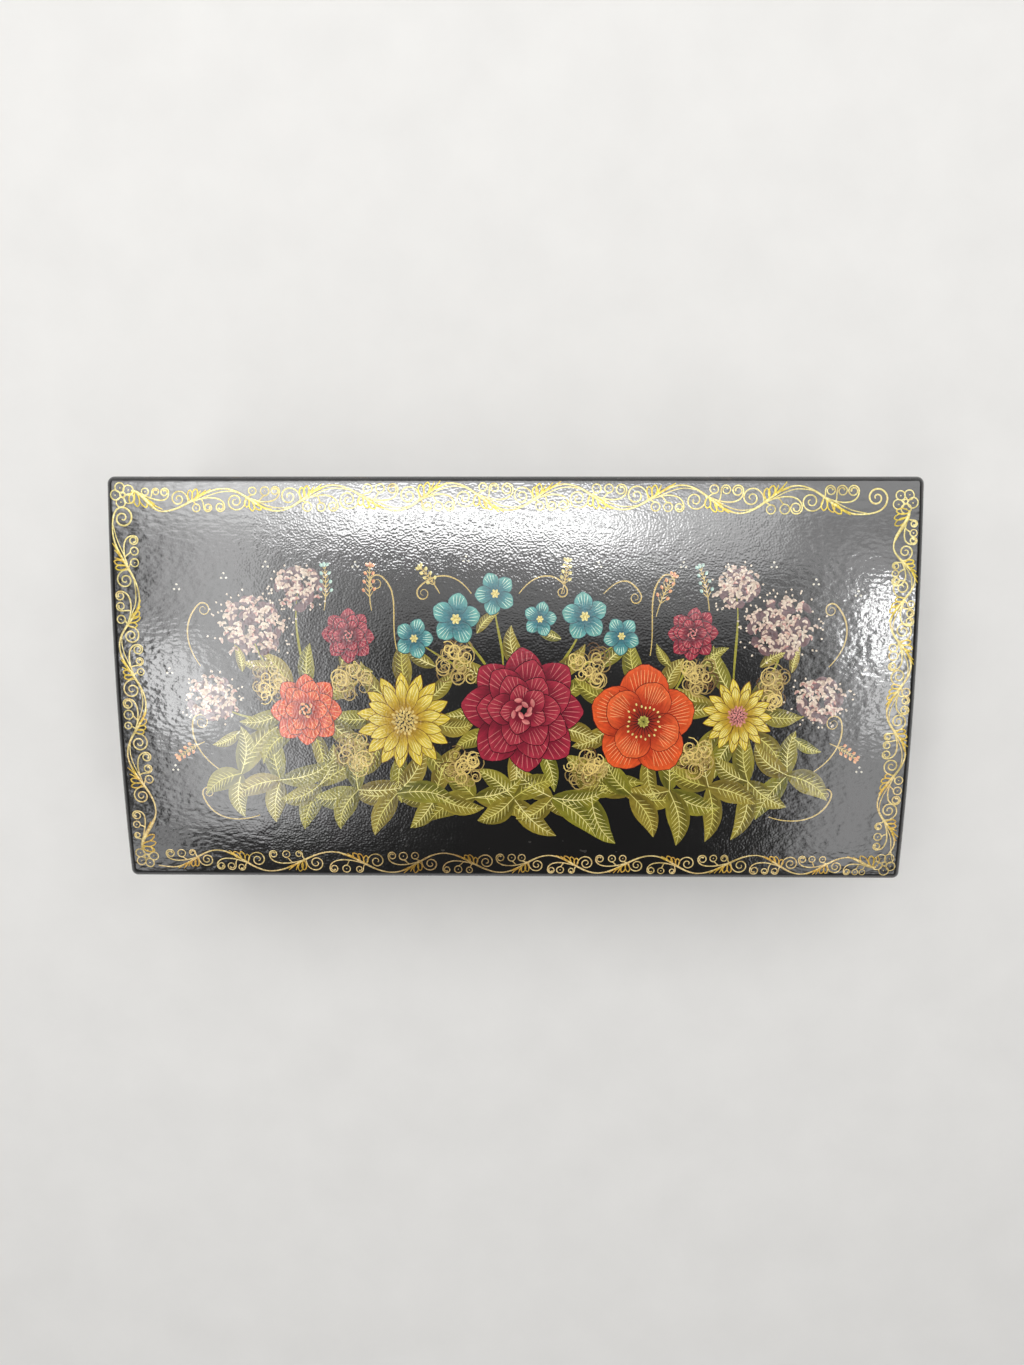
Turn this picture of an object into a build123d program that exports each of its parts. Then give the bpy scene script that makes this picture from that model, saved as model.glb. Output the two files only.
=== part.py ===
from build123d import *

import math
import os

# A rectangular papier-mache casket with a gently arched, hinged lid.
# X runs along its length, -Y is the front, +Y the hinge side, and Z = 0 is the table.
# All lengths are in millimetres, all angles in degrees.

# Lid plate, the pressed board that carries the picture
lid_length = 160.0
lid_depth = 82.0
plate_thickness = 3.0
plate_corner_radius = 1.0
dome_rise = 2.4
top_rounding = 0.8
under_rounding = 0.5

# Wound case: four walls in one tube, and the lid's rim sawn from the same tube
plate_overhang = 1.0
wall_thickness = 5.0
wall_height = 30.0
wall_corner_radius = 1.0
rim_height = 7.0
seam_gap = 0.2
seam_rounding = 0.5

# Bottom board
bottom_thickness = 3.0
bottom_rounding = 0.8

# Liner boards inside the walls; all but the rear one stand proud to guide the lid
liner_thickness = 1.6
liner_rise = 2.5
liner_clearance = 0.3
liner_rounding = 0.5

# Knuckle hinge sunk in the rear wall, just inside its outer face
hinge_end_margin = 23.0
hinge_inset = 1.7
knuckle_count = 5
knuckle_end_gap = 0.3
knuckle_cover = 0.2
groove_clearance = 0.25
glue_line = 0.05
pin_radius = 0.6
pin_clearance = 0.05
stop_angle = 102.0

# Places that follow from the sizes above
case_length = lid_length - 2 * plate_overhang
case_depth = lid_depth - 2 * plate_overhang
inner_length = case_length - 2 * wall_thickness
inner_depth = case_depth - 2 * wall_thickness
hinge_length = case_length - 2 * hinge_end_margin
seam_z = bottom_thickness + wall_height
rim_z = seam_z + seam_gap
plate_edge_z = rim_z + rim_height + plate_thickness

# The lid's arch, a circle about a line along X
arch_radius = ((lid_depth / 2) ** 2 + dome_rise**2) / (2 * dome_rise)
arch_centre_z = plate_edge_z + dome_rise - arch_radius

# The hinge axis, in the rear wall at the height of the seam
axis_y = case_depth / 2 - hinge_inset
axis_z = seam_z + seam_gap / 2
knuckle_radius = hinge_inset - knuckle_cover
knuckle_pitch = hinge_length / knuckle_count

NAMES_ALONG = {1: [""], 2: ["left", "right"], 3: ["left", "centre", "right"]}


def rounded_slab(length, depth, radius, low, high):
    """Upright block with rounded vertical corners, from z = low to z = high."""
    return Pos(0, 0, low) * extrude(RectangleRounded(length, depth, radius), high - low)


def arch_drum(radius):
    """Cylinder along X on the lid's arch, long enough to pass through the whole casket."""
    return Pos(0, 0, arch_centre_z) * Rot(0, 90, 0) * Cylinder(radius, 2 * lid_length)


def on_hinge_axis(radius, length, x=0.0):
    """Cylinder on the hinge axis, centred at x."""
    return Pos(x, axis_y, axis_z) * Rot(0, 90, 0) * Cylinder(radius, length)


def knuckle_x(index):
    """Middle of the knuckle with that number, counted from the left."""
    return (index + 0.5) * knuckle_pitch - hinge_length / 2


def hinge_grooves(own_knuckles):
    """Groove along the hinge: a glue seat at a piece's own knuckles, running room at the others."""
    grooves = []
    for index in range(knuckle_count):
        room = glue_line if index in own_knuckles else groove_clearance
        grooves.append(on_hinge_axis(knuckle_radius + room, knuckle_pitch, knuckle_x(index)))
    return grooves


def stop_bevel(upward):
    """Wedge cut behind the hinge axis; the lid's bevel meets the wall's at the stop angle."""
    reach = hinge_inset + plate_overhang
    drop = reach * math.tan(math.radians(stop_angle / 2))
    tip_z = drop if upward else -drop
    wedge = Polyline((0, 0), (reach, 0), (reach, tip_z), close=True)
    section = Plane.YZ * make_face(wedge)
    return Pos(0, axis_y, axis_z) * extrude(section, lid_length, both=True)


def build_bottom_board():
    board = rounded_slab(lid_length, lid_depth, plate_corner_radius, 0, bottom_thickness)
    rims = board.faces().sort_by(Axis.Z)[0].edges() + board.faces().sort_by(Axis.Z)[-1].edges()
    return fillet(rims, bottom_rounding)


def build_body_walls(own_knuckles):
    walls = rounded_slab(case_length, case_depth, wall_corner_radius, bottom_thickness, seam_z)
    walls = fillet(walls.faces().sort_by(Axis.Z)[-1].edges(), seam_rounding)
    hollow = Pos(0, 0, bottom_thickness) * extrude(Rectangle(inner_length, inner_depth), wall_height)
    return walls - hollow - stop_bevel(upward=False) - hinge_grooves(own_knuckles)


def liner_board(length, thickness, x, y, top_z):
    """Thin upright board on the bottom board, with its top edges rounded over."""
    height = top_z - bottom_thickness
    board = Pos(x, y, bottom_thickness + height / 2) * Box(length, thickness, height)
    return fillet(board.faces().sort_by(Axis.Z)[-1].edges(), liner_rounding)


def build_liners():
    raised_z = seam_z + liner_rise
    end_y = inner_depth / 2 - liner_thickness / 2
    side_x = inner_length / 2 - liner_thickness / 2
    side_depth = inner_depth - 2 * liner_thickness
    return {
        "liner_front": liner_board(inner_length, liner_thickness, 0, -end_y, raised_z),
        "liner_rear": liner_board(inner_length, liner_thickness, 0, end_y, seam_z),
        "liner_left": liner_board(liner_thickness, side_depth, -side_x, 0, raised_z),
        "liner_right": liner_board(liner_thickness, side_depth, side_x, 0, raised_z),
    }


def build_lid_rim(own_knuckles):
    above_plate = plate_edge_z + dome_rise
    rim = rounded_slab(case_length, case_depth, wall_corner_radius, rim_z, above_plate)
    rim = fillet(rim.faces().sort_by(Axis.Z)[0].edges(), seam_rounding)
    hollow_front = -inner_depth / 2 - liner_clearance
    hollow_depth = inner_depth / 2 - hollow_front
    hollow = Rectangle(inner_length + 2 * liner_clearance, hollow_depth)
    rim -= Pos(0, hollow_front + hollow_depth / 2, rim_z) * extrude(hollow, above_plate)
    rim &= arch_drum(arch_radius - plate_thickness - glue_line)
    return rim - stop_bevel(upward=True) - hinge_grooves(own_knuckles)


def build_lid_plate():
    blank = rounded_slab(lid_length, lid_depth, plate_corner_radius, rim_z, plate_edge_z + dome_rise)
    plate = (blank & arch_drum(arch_radius)) - arch_drum(arch_radius - plate_thickness)
    plate = fillet(plate.faces().sort_by(SortBy.AREA)[-2:].sort_by(Axis.Z)[-1].edges(), top_rounding)
    return fillet(plate.faces().sort_by(SortBy.AREA)[-2:].sort_by(Axis.Z)[0].edges(), under_rounding)


def build_knuckle(index):
    length = knuckle_pitch - knuckle_end_gap
    barrel = on_hinge_axis(knuckle_radius, length, knuckle_x(index))
    return barrel - on_hinge_axis(pin_radius + pin_clearance, length, knuckle_x(index))


def build_hinge_pin():
    return on_hinge_axis(pin_radius, hinge_length - knuckle_end_gap)


def name_knuckles(owner, indices):
    """Node names for one piece's knuckles, from left to right."""
    sides = NAMES_ALONG.get(len(indices), [str(n + 1) for n in range(len(indices))])
    return {f"{owner}_knuckle_{side}".rstrip("_"): index for side, index in zip(sides, indices)}


case_knuckles = list(range(0, knuckle_count, 2))
lid_knuckles = list(range(1, knuckle_count, 2))

pieces = {
    "bottom_board": build_bottom_board(),
    "body_walls": build_body_walls(case_knuckles),
    "lid_rim": build_lid_rim(lid_knuckles),
    "lid_plate": build_lid_plate(),
    "hinge_pin": build_hinge_pin(),
}
pieces.update(build_liners())
for owner, indices in (("case", case_knuckles), ("lid", lid_knuckles)):
    for name, index in name_knuckles(owner, indices).items():
        pieces[name] = build_knuckle(index)

os.makedirs("parts", exist_ok=True)
for name, piece in pieces.items():
    export_step(piece, f"parts/{name}.step")
print(f"hinge axis at y {axis_y:.2f} z {axis_z:.2f}, lid arch radius {arch_radius:.2f}")
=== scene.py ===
import math
import random

import bmesh
import bpy
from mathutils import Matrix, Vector


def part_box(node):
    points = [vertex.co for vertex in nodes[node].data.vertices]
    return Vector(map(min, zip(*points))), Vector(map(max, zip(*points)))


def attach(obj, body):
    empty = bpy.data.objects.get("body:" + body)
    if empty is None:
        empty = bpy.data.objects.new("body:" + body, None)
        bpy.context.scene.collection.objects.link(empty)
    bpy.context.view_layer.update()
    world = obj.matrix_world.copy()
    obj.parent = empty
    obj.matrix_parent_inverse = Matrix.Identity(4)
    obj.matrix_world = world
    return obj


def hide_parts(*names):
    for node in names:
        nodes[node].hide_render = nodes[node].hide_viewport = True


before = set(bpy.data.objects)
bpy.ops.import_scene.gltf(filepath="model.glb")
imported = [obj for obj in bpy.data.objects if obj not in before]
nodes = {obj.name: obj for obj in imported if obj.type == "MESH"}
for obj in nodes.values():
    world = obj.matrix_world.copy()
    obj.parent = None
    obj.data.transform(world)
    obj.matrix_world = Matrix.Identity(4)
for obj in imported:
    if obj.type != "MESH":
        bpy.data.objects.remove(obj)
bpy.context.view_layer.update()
mm = 0.001
white = (1.0, 1.0, 1.0)

# the lid's board; its length, depth and height are read off the plate's box
lid = {
    "rise": 2.4 * mm,
    "thickness": 3.0 * mm,
    "cornerRadius": 1.4 * mm,
    "topRounding": 1.2 * mm,
    "underRounding": 0.5 * mm,
    "paintRoom": 0.09 * mm,  # the lacquer lies this far under the CAD arch, as room for the paint
    "cut": 1.6 * mm,  # about the width of one facet of the arch
    "hold": 0.15 * mm,  # the first and last cuts lie this far inside the rounding
    "redMargin": (3.0 * mm, 2.0 * mm),  # black border round the red underside
    "edgeReach": 0.98,  # share of the rounding that a painted line may run over
}
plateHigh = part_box("lid_plate")[1]
halfLength = plateHigh.x
halfDepth = plateHigh.y
archRadius = (halfDepth ** 2 + lid["rise"] ** 2) / (2 * lid["rise"])


def lacquerZ(y):
    return plateHigh.z - lid["paintRoom"] - archRadius + math.sqrt(archRadius ** 2 - y * y)


def edgeDrop(x, y):
    # how far the rounded edge of the board lies below its arch here
    corner = lid["cornerRadius"]
    radius = lid["topRounding"]
    past = Vector((abs(x) - halfLength + corner, abs(y) - halfDepth + corner))
    reach = past.length if min(past) > 0 else max(past)
    over = min(max(0.0, reach - corner + radius), lid["edgeReach"] * radius)
    return radius - math.sqrt(radius ** 2 - over ** 2)


# materials

def newMaterial(name):
    material = bpy.data.materials.new(name)
    material.use_nodes = True
    shader = material.node_tree.nodes["Principled BSDF"]
    return material, material.node_tree, shader


def addNode(tree, kind, **settings):
    node = tree.nodes.new(kind)
    for key, value in settings.items():
        setattr(node, key, value)
    return node


def feed(tree, socket, value):
    # a link, or a plain number or colour on the socket itself
    if isinstance(value, bpy.types.NodeSocket):
        tree.links.new(value, socket)
    else:
        socket.default_value = (*value, 1.0) if isinstance(value, tuple) else value


def mathNode(tree, operation, *values, clamp=False):
    node = addNode(tree, "ShaderNodeMath", operation=operation, use_clamp=clamp)
    for socket, value in zip(node.inputs, values):
        feed(tree, socket, value)
    return node.outputs[0]


def noiseNode(tree, vector, scale, detail=2.0, roughness=0.5):
    node = addNode(tree, "ShaderNodeTexNoise")
    node.inputs["Scale"].default_value = scale
    node.inputs["Detail"].default_value = detail
    node.inputs["Roughness"].default_value = roughness
    tree.links.new(vector, node.inputs["Vector"])
    return node.outputs["Fac"]


def rampNode(tree, value, first, second, low=0.3, high=0.7):
    node = addNode(tree, "ShaderNodeValToRGB")
    for element, place, colour in zip(node.color_ramp.elements, (low, high), (first, second)):
        element.position = place
        element.color = (*colour, 1.0)
    tree.links.new(value, node.inputs["Fac"])
    return node.outputs["Color"]


def mixColour(tree, factor, first, second, blend="MIX"):
    node = addNode(tree, "ShaderNodeMix", data_type="RGBA", blend_type=blend)
    for index, value in ((0, factor), (6, first), (7, second)):
        feed(tree, node.inputs[index], value)
    return node.outputs[2]


def multiplyColours(tree, first, second):
    return mixColour(tree, 1.0, first, second, "MULTIPLY")


def splitNode(tree, vector):
    node = addNode(tree, "ShaderNodeSeparateXYZ")
    tree.links.new(vector, node.inputs[0])
    return node.outputs


def mappingNode(tree, vector, scale, place=(0.0, 0.0, 0.0)):
    node = addNode(tree, "ShaderNodeMapping")
    node.inputs["Location"].default_value = place
    node.inputs["Scale"].default_value = scale
    tree.links.new(vector, node.inputs["Vector"])
    return node.outputs["Vector"]


def lengthNode(tree, vector):
    node = addNode(tree, "ShaderNodeVectorMath", operation="LENGTH")
    tree.links.new(vector, node.inputs[0])
    return node.outputs["Value"]


def fadeNode(tree, value, start, end):
    # 0 up to start, 1 past end, and a soft step between
    node = addNode(tree, "ShaderNodeMapRange", interpolation_type="SMOOTHSTEP")
    node.inputs["From Min"].default_value = start
    node.inputs["From Max"].default_value = end
    tree.links.new(value, node.inputs["Value"])
    return node.outputs["Result"]


def objectCoords(tree):
    return addNode(tree, "ShaderNodeTexCoord").outputs["Object"]


def bumpNode(tree, height, strength, distance):
    node = addNode(tree, "ShaderNodeBump")
    node.inputs["Strength"].default_value = strength
    node.inputs["Distance"].default_value = distance
    tree.links.new(height, node.inputs["Height"])
    return node.outputs["Normal"]


def newGroup(name, inputs, outputs):
    # inputs come with their defaults, None for a place; all outputs are numbers
    group = bpy.data.node_groups.new(name, "ShaderNodeTree")
    for label, value in inputs.items():
        kind = "NodeSocketVector" if value is None else "NodeSocketFloat"
        socket = group.interface.new_socket(label, in_out="INPUT", socket_type=kind)
        if value is not None:
            socket.default_value = value
    for label in outputs:
        group.interface.new_socket(label, in_out="OUTPUT", socket_type="NodeSocketFloat")
    return group, group.nodes.new("NodeGroupInput").outputs, group.nodes.new("NodeGroupOutput").inputs


def placeGroup(tree, group, **values):
    node = addNode(tree, "ShaderNodeGroup", node_tree=group)
    for label, value in values.items():
        feed(tree, node.inputs[label], value)
    return node.outputs


# brushed varnish, with grains in waves per metre; of a height's two values, the ends add the second
varnishLook = {
    "ends": (0.040, 0.062),  # from here to here the stippled middle goes over into rippled ends
    "ripples": 1300,
    "rippleStretch": (0.55, 1.0, 1.0),
    "rippleHeight": (0.30, 0.70),
    "stipple": 2500,
    "stippleHeight": (0.77, -0.62),
    "swells": 260,
    "swellHeight": 1.4,
    "wiped": 60,
    "wipedHaze": 0.08,
    "specks": 900,
    "dustAbove": 0.84,
}


def buildVarnishGroup():
    # stippled and rippled height, wiped haze and a few specks of dust
    look = varnishLook
    group, given, put = newGroup("varnish", {"Place": None, "Peel": 1.0, "Haze": 0.3},
                                 ("Height", "Roughness", "Dust"))
    place = given["Place"]
    ends = fadeNode(group, mathNode(group, "ABSOLUTE", splitNode(group, place)[0]), *look["ends"])

    def layer(noise, height):
        tall = mathNode(group, "MULTIPLY_ADD", ends, height[1], height[0])
        return mathNode(group, "MULTIPLY", noise, tall)

    drawn = mappingNode(group, place, look["rippleStretch"])
    ripples = layer(noiseNode(group, drawn, look["ripples"], 0.7), look["rippleHeight"])
    stipple = layer(noiseNode(group, place, look["stipple"], 0.0), look["stippleHeight"])
    broad = noiseNode(group, place, look["swells"], 1.0)
    swells = mathNode(group, "MULTIPLY", broad, look["swellHeight"])
    height = mathNode(group, "ADD", mathNode(group, "ADD", ripples, stipple), swells)
    group.links.new(mathNode(group, "MULTIPLY", height, given["Peel"]), put["Height"])
    wiped = noiseNode(group, place, look["wiped"], 4.0, 0.6)
    uneven = mathNode(group, "MULTIPLY_ADD", wiped, look["wipedHaze"], -look["wipedHaze"] / 2)
    group.links.new(mathNode(group, "ADD", uneven, given["Haze"], clamp=True), put["Roughness"])
    specks = noiseNode(group, place, look["specks"], 0.0)
    group.links.new(mathNode(group, "GREATER_THAN", specks, look["dustAbove"]), put["Dust"])
    return group


edgeRub = {"width": 0.9 * mm, "patches": 130, "contrast": (4.0, -2.1)}


def buildEdgeGroup():
    # rubbed patches along the outer edges of a piece with these half sizes
    group, given, put = newGroup(
        "edgeRub",
        {"Place": None, "HalfX": halfLength, "HalfY": halfDepth, "Width": edgeRub["width"],
         "Corners": 0.0},
        ("Mask",),
    )
    x, y, _ = splitNode(group, given["Place"])
    gapX = mathNode(group, "SUBTRACT", given["HalfX"], mathNode(group, "ABSOLUTE", x))
    gapY = mathNode(group, "SUBTRACT", given["HalfY"], mathNode(group, "ABSOLUTE", y))
    nearest = mathNode(group, "MINIMUM", gapX, gapY)
    corner = mathNode(group, "MULTIPLY", mathNode(group, "MAXIMUM", gapX, gapY), given["Corners"])
    near = mathNode(group, "DIVIDE", mathNode(group, "MAXIMUM", nearest, corner), given["Width"])
    edge = mathNode(group, "SUBTRACT", 1.0, near, clamp=True)
    patches = noiseNode(group, given["Place"], edgeRub["patches"], 5.0, 0.7)
    rubbed = mathNode(group, "MULTIPLY_ADD", patches, *edgeRub["contrast"], clamp=True)
    group.links.new(mathNode(group, "MULTIPLY", edge, rubbed), put["Mask"])
    return group


hollow = {"halfX": 74.5 * mm, "halfY": 35.5 * mm}


def buildInsideGroup():
    # 1 within the hollow of the case: nearer the middle than its half sizes, and above a height
    group, given, put = newGroup(
        "inside",
        {"Place": None, "HalfX": hollow["halfX"], "HalfY": hollow["halfY"], "Floor": 0.0},
        ("Mask",),
    )
    x, y, z = splitNode(group, given["Place"])
    nearX = mathNode(group, "LESS_THAN", mathNode(group, "ABSOLUTE", x), given["HalfX"])
    nearY = mathNode(group, "LESS_THAN", mathNode(group, "ABSOLUTE", y), given["HalfY"])
    above = mathNode(group, "GREATER_THAN", z, given["Floor"])
    near = mathNode(group, "MULTIPLY", nearX, nearY)
    group.links.new(mathNode(group, "MULTIPLY", near, above), put["Mask"])
    return group


varnishGroup = buildVarnishGroup()
edgeGroup = buildEdgeGroup()
insideGroup = buildInsideGroup()
gloss = {
    "peel": 0.030 * mm,  # height of the varnish's ripples
    "rough": 0.08,
    "ior": 1.85,
    "hazeWeight": 0.4,
    "hazeIor": 1.5,
    "hazeRough": 0.30,
    "goldIor": 1.48,
    "goldHaze": 0.15,
}


def newVarnished(name, peel=1.0, haze=0.0):
    material, tree, shader = newMaterial(name)
    place = objectCoords(tree)
    varnish = placeGroup(tree, varnishGroup, Place=place, Peel=peel, Haze=gloss["rough"] + haze)
    return material, tree, shader, place, varnish


def addGloss(tree, shader, varnish, ior=gloss["ior"], haze=gloss["hazeWeight"]):
    # a clear rippled shine, with a wide haze over it
    tree.links.new(varnish["Roughness"], shader.inputs["Roughness"])
    tree.links.new(bumpNode(tree, varnish["Height"], 1.0, gloss["peel"]), shader.inputs["Normal"])
    shader.inputs["IOR"].default_value = ior
    shader.inputs["Coat Weight"].default_value = haze
    shader.inputs["Coat IOR"].default_value = gloss["hazeIor"]
    shader.inputs["Coat Roughness"].default_value = gloss["hazeRough"]


lacquerTones = {
    "black": ((0.0030, 0.0028, 0.0026), (0.0065, 0.0060, 0.0054)),
    "dust": (0.035, 0.033, 0.030),
    "rubbed": (0.10, 0.070, 0.042),
    "red": ((0.28, 0.012, 0.008), (0.42, 0.028, 0.016)),
    "redStroke": (0.20, 0.008, 0.006),
    "strokeShare": 0.35,
}


def blackGround(tree, place, varnish, halfX, halfY, corners):
    rub = placeGroup(tree, edgeGroup, Place=place, HalfX=halfX, HalfY=halfY, Corners=corners)["Mask"]
    black = rampNode(tree, noiseNode(tree, place, 35, 3.0), *lacquerTones["black"])
    dusty = mixColour(tree, varnish["Dust"], black, lacquerTones["dust"])
    return mixColour(tree, rub, dusty, lacquerTones["rubbed"])


def redGround(tree, place):
    red = rampNode(tree, noiseNode(tree, place, 55, 4.0), *lacquerTones["red"])
    most = (lacquerTones["strokeShare"],) * 3
    strokes = rampNode(tree, noiseNode(tree, place, 700, 2.0), (0.0, 0.0, 0.0), most, 0.35, 0.75)
    return mixColour(tree, strokes, red, lacquerTones["redStroke"])


def buildBlackLacquer(name, halfX, halfY, corners=0.0):
    material, tree, shader, place, varnish = newVarnished(name)
    tree.links.new(blackGround(tree, place, varnish, halfX, halfY, corners), shader.inputs["Base Color"])
    addGloss(tree, shader, varnish)
    return material


def buildRedLacquer(name):
    material, tree, shader, place, varnish = newVarnished(name, 0.8, 0.06)
    tree.links.new(redGround(tree, place), shader.inputs["Base Color"])
    addGloss(tree, shader, varnish)
    return material


def buildTwoLacquers(name, halfX, halfY, floor, corners=0.0):
    # black outside, red where the piece faces the hollow
    material, tree, shader, place, varnish = newVarnished(name)
    inside = placeGroup(tree, insideGroup, Place=place, Floor=floor)["Mask"]
    black = blackGround(tree, place, varnish, halfX, halfY, corners)
    tree.links.new(mixColour(tree, inside, black, redGround(tree, place)), shader.inputs["Base Color"])
    addGloss(tree, shader, varnish)
    return material


metals = {
    "hingeBrass": {"dull": (0.42, 0.27, 0.09), "bright": (0.78, 0.57, 0.24), "rough": 0.34},
    "pinSteel": {"dull": (0.36, 0.35, 0.34), "bright": (0.60, 0.60, 0.60), "rough": 0.30},
}
drawMarks = {"stretch": (9000.0, 400.0, 400.0), "uneven": 0.22, "strength": 0.3, "depth": 0.008 * mm}


def buildMetal(name):
    # drawn metal: fine scratches round the barrel and a little tarnish
    metal = metals[name]
    material, tree, shader = newMaterial(name)
    place = objectCoords(tree)
    scratches = noiseNode(tree, mappingNode(tree, place, drawMarks["stretch"]), 1.0, 2.0)
    tarnish = noiseNode(tree, place, 500, 5.0, 0.65)
    colour = rampNode(tree, tarnish, metal["dull"], metal["bright"], 0.32, 0.62)
    tree.links.new(colour, shader.inputs["Base Color"])
    smoothest = metal["rough"] - drawMarks["uneven"] / 2
    uneven = mathNode(tree, "MULTIPLY_ADD", scratches, drawMarks["uneven"], smoothest)
    tree.links.new(uneven, shader.inputs["Roughness"])
    marks = bumpNode(tree, scratches, drawMarks["strength"], drawMarks["depth"])
    tree.links.new(marks, shader.inputs["Normal"])
    shader.inputs["Metallic"].default_value = 1.0
    return material


goldTones = {
    "fineGold": {
        "lemon": ((0.70, 0.57, 0.14), (0.95, 0.89, 0.43)),
        "amber": ((0.47, 0.295, 0.095), (0.94, 0.74, 0.36)),
    },
    "richGold": {
        "lemon": ((0.60, 0.44, 0.025), (0.92, 0.76, 0.09)),
        "amber": ((0.42, 0.215, 0.030), (0.76, 0.46, 0.080)),
    },
}
goldLook = {
    "amberAndPaintedShade": (-9.0, 0.50),  # change per metre toward the back, and the share in the middle; darker amber toward the front and paler lemon toward the back are partly the gold's own hue, partly painted shade and painted highlight
    "amberDrift": (2.4, -1.2),
    "dry": (0.62, 0.55, 0.47),
    "worn": (0.45, 0.40, 0.36),
    "wornScale": (50.0, 50.0, 0.0),
    "wornPlace": (0.65, 1.85, 0.0),
    "metallic": 0.15,
    "haze": 0.05,
}


def buildGoldPaint(name):
    # shell gold: lemon where it lies thick, bronze where the brush ran dry, more amber toward the front;
    # the darker amber at the front and paler lemon at the back are partly painted shade and painted
    # highlight
    tones = goldTones[name]
    material, tree, shader, place, varnish = newVarnished(name, haze=goldLook["haze"])
    grains = noiseNode(tree, place, 2600, 2.0)
    flow = noiseNode(tree, place, 240, 4.0, 0.6)
    lemon = rampNode(tree, grains, *tones["lemon"])
    amber = rampNode(tree, grains, *tones["amber"])
    # paler toward the back and darker toward the front: partly the gold's own hue, partly painted
    # highlight and painted shade
    back = splitNode(tree, place)[1]
    along = mathNode(tree, "MULTIPLY_ADD", back, *goldLook["amberAndPaintedShade"], clamp=True)
    drift = mathNode(tree, "MULTIPLY_ADD", flow, *goldLook["amberDrift"])
    shade = mathNode(tree, "ADD", along, drift, clamp=True)
    dry = rampNode(tree, flow, goldLook["dry"], white, 0.34, 0.50)
    # fingers have worn the gold in the middle of the front, where the lid is lifted
    away = lengthNode(tree, mappingNode(tree, place, goldLook["wornScale"], goldLook["wornPlace"]))
    ragged = mathNode(tree, "MULTIPLY", mathNode(tree, "ADD", flow, away), 0.5)
    kept = rampNode(tree, ragged, goldLook["worn"], white, 0.45, 0.85)
    painted = multiplyColours(tree, mixColour(tree, shade, lemon, amber), dry)
    tree.links.new(multiplyColours(tree, painted, kept), shader.inputs["Base Color"])
    shader.inputs["Metallic"].default_value = goldLook["metallic"]
    addGloss(tree, shader, varnish, gloss["goldIor"], gloss["goldHaze"])
    return material


def buildPicturePaint(name, streaks):
    # tempera under the lid's own varnish; tint and brush are attributes of each stroke
    material, tree, shader, place, varnish = newVarnished(name)
    tint = addNode(tree, "ShaderNodeAttribute", attribute_name="tint").outputs["Color"]
    brush = addNode(tree, "ShaderNodeAttribute", attribute_name="brush").outputs["Vector"]
    bristles = noiseNode(tree, mappingNode(tree, brush, (3.2, 0.35, 1.0)), 1.0, 3.0, 0.6)
    streak = rampNode(tree, bristles, (1 - streaks,) * 3, (1 + 0.35 * streaks,) * 3)
    worn = noiseNode(tree, place, 900, 3.0, 0.6)
    rubbed = rampNode(tree, worn, (0.78, 0.76, 0.74), white, high=0.62)
    painted = multiplyColours(tree, tint, streak)
    tree.links.new(multiplyColours(tree, painted, rubbed), shader.inputs["Base Color"])
    addGloss(tree, shader, varnish)
    return material


overhang = 1.0 * mm  # the lid and the bottom board stand out this far past the walls
wallX = halfLength - overhang
wallY = halfDepth - overhang
lidLacquer = buildBlackLacquer("lidLacquer", halfLength, halfDepth)
fineGold = buildGoldPaint("fineGold")
richGold = buildGoldPaint("richGold")
picturePaint = buildPicturePaint("picturePaint", 0.34)
linePaint = buildPicturePaint("linePaint", 0.12)
redLacquer = buildRedLacquer("redLacquer")
wallLacquer = buildBlackLacquer("wallLacquer", wallX, wallY, 1.0)
rimLacquer = buildTwoLacquers("rimLacquer", wallX, wallY, 0.0, 1.0)
boardLacquer = buildTwoLacquers("boardLacquer", halfLength, halfDepth, 2.5 * mm)
hingeBrass = buildMetal("hingeBrass")
pinSteel = buildMetal("pinSteel")
print("materials ready")


# pieces

def settlePiece(mesh, name, body, materials):
    for material in materials:
        mesh.materials.append(material)
    piece = bpy.data.objects.new(name, mesh)
    bpy.context.scene.collection.objects.link(piece)
    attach(piece, body)
    return piece


def finishPiece(bm, name, body, materials):
    mesh = bpy.data.meshes.new(name)
    for face in bm.faces:
        face.smooth = True
    bm.to_mesh(mesh)
    bm.free()
    return settlePiece(mesh, name, body, materials)


def cutAcross(bm, places, normal):
    for place in places:
        geometry = bm.verts[:] + bm.edges[:] + bm.faces[:]
        spot = Vector(normal) * place
        bmesh.ops.bisect_plane(bm, geom=geometry, dist=1e-7, plane_co=spot, plane_no=normal)


def bevelEdges(bm, edges, radius, segments):
    bmesh.ops.bevel(bm, geom=edges, offset=radius, offset_type="OFFSET", segments=segments,
                    profile=0.5, affect="EDGES", material=-1)


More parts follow.
